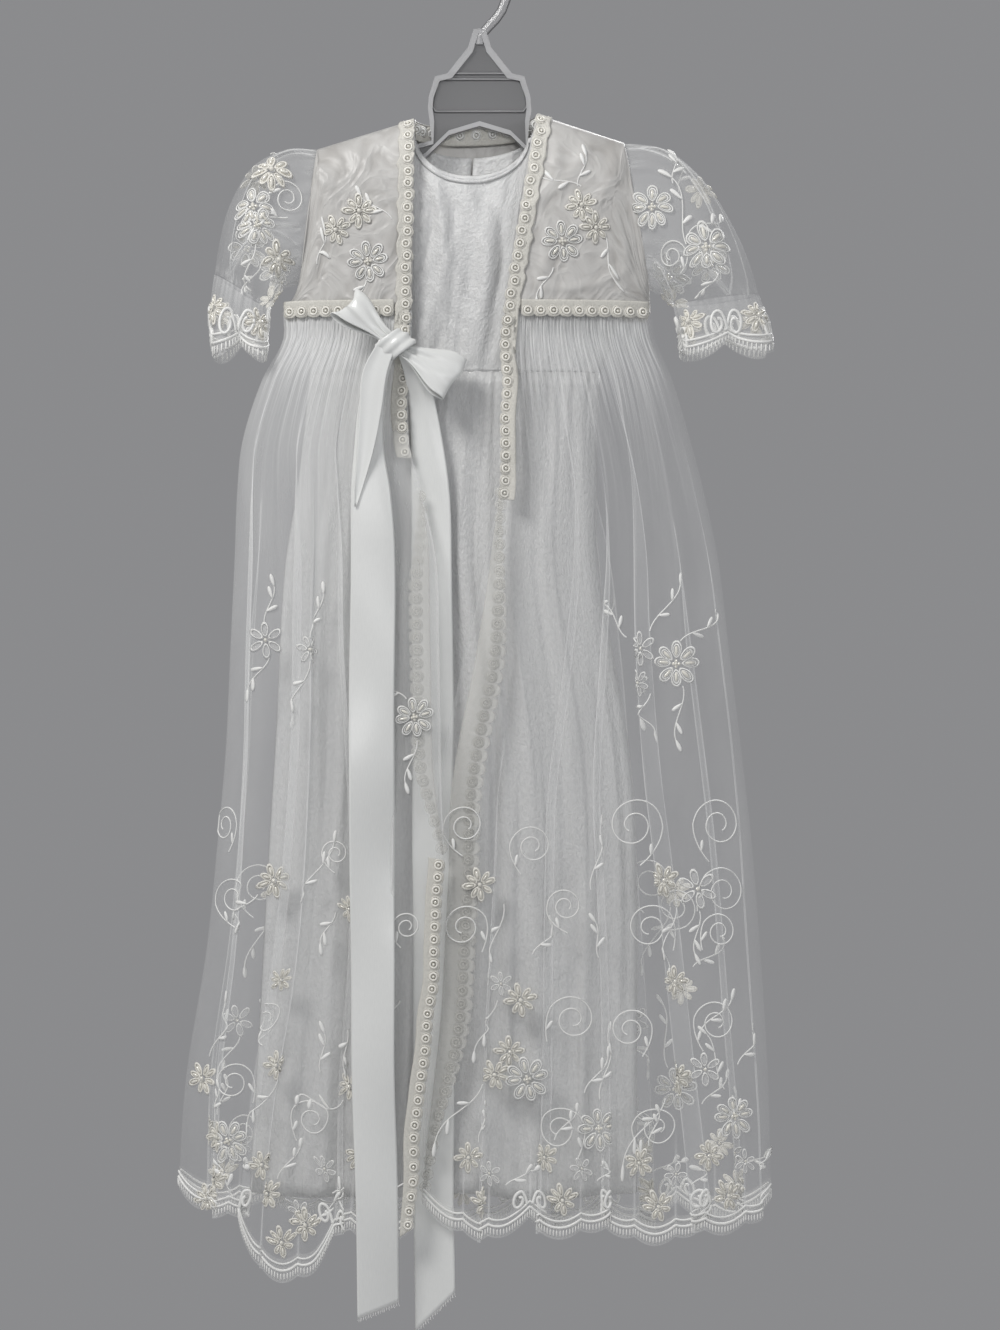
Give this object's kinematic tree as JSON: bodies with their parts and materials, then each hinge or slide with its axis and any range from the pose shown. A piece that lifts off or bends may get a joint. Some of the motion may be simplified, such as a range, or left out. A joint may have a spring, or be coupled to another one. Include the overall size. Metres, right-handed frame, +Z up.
{
  "type": "christening gown on a child's hanger",
  "caption": "Baby's christening gown on a small plastic hanger: sleeveless satin dress inside an open organza robe with puffed sleeves, lace trims, scalloped hem and a satin ribbon bow.",
  "frame": {"origin": "inside top of the hanger's hook, where it rests on a rail; the mount named hook", "axes": "+Z up, along the gown's length; -Y is the gown's front; +X is to the right as the front is seen"},
  "size_m": [0.3875, 0.0683, 0.8933],
  "materials": {
    "satin": "bright white polyester satin with a soft sheen",
    "organza": "sheer silvery white organza",
    "lace": "ivory ring lace and corded scalloped lace",
    "ribbon": "pale cool white satin ribbon",
    "hanger_plastic": "frosted grey moulded plastic"
  },
  "bodies": {
    "root": {"dress_back_bodice_left": "satin", "dress_back_bodice_right": "satin", "dress_back_skirt": "satin", "dress_button_1": "satin", "dress_button_2": "satin", "dress_button_3": "satin", "dress_front_bodice": "satin", "dress_front_skirt": "satin", "dress_neck_binding_back_left": "satin", "dress_neck_binding_back_right": "satin", "dress_neck_binding_front": "satin", "hanger": "hanger_plastic", "ribbon_knot": "ribbon", "ribbon_loop_left": "ribbon", "ribbon_loop_right": "ribbon", "ribbon_tail_left": "ribbon", "ribbon_tail_right": "ribbon", "robe_back_bodice": "organza", "robe_back_skirt": "organza", "robe_cuff_lace_left": "lace", "robe_cuff_lace_right": "lace", "robe_front_bodice_left": "organza", "robe_front_bodice_right": "organza", "robe_front_skirt_left": "organza", "robe_front_skirt_right": "organza", "robe_hem_lace_back": "lace", "robe_hem_lace_left": "lace", "robe_hem_lace_right": "lace", "robe_sleeve_left": "organza", "robe_sleeve_right": "organza", "robe_turned_edge_left": "organza", "robe_turned_edge_right": "organza", "trim_front_left": "lace", "trim_front_left_low": "lace", "trim_front_right": "lace", "trim_neck_back": "lace", "trim_waist_back": "lace", "trim_waist_left": "lace", "trim_waist_right": "lace"}
  },
  "joints": []
}
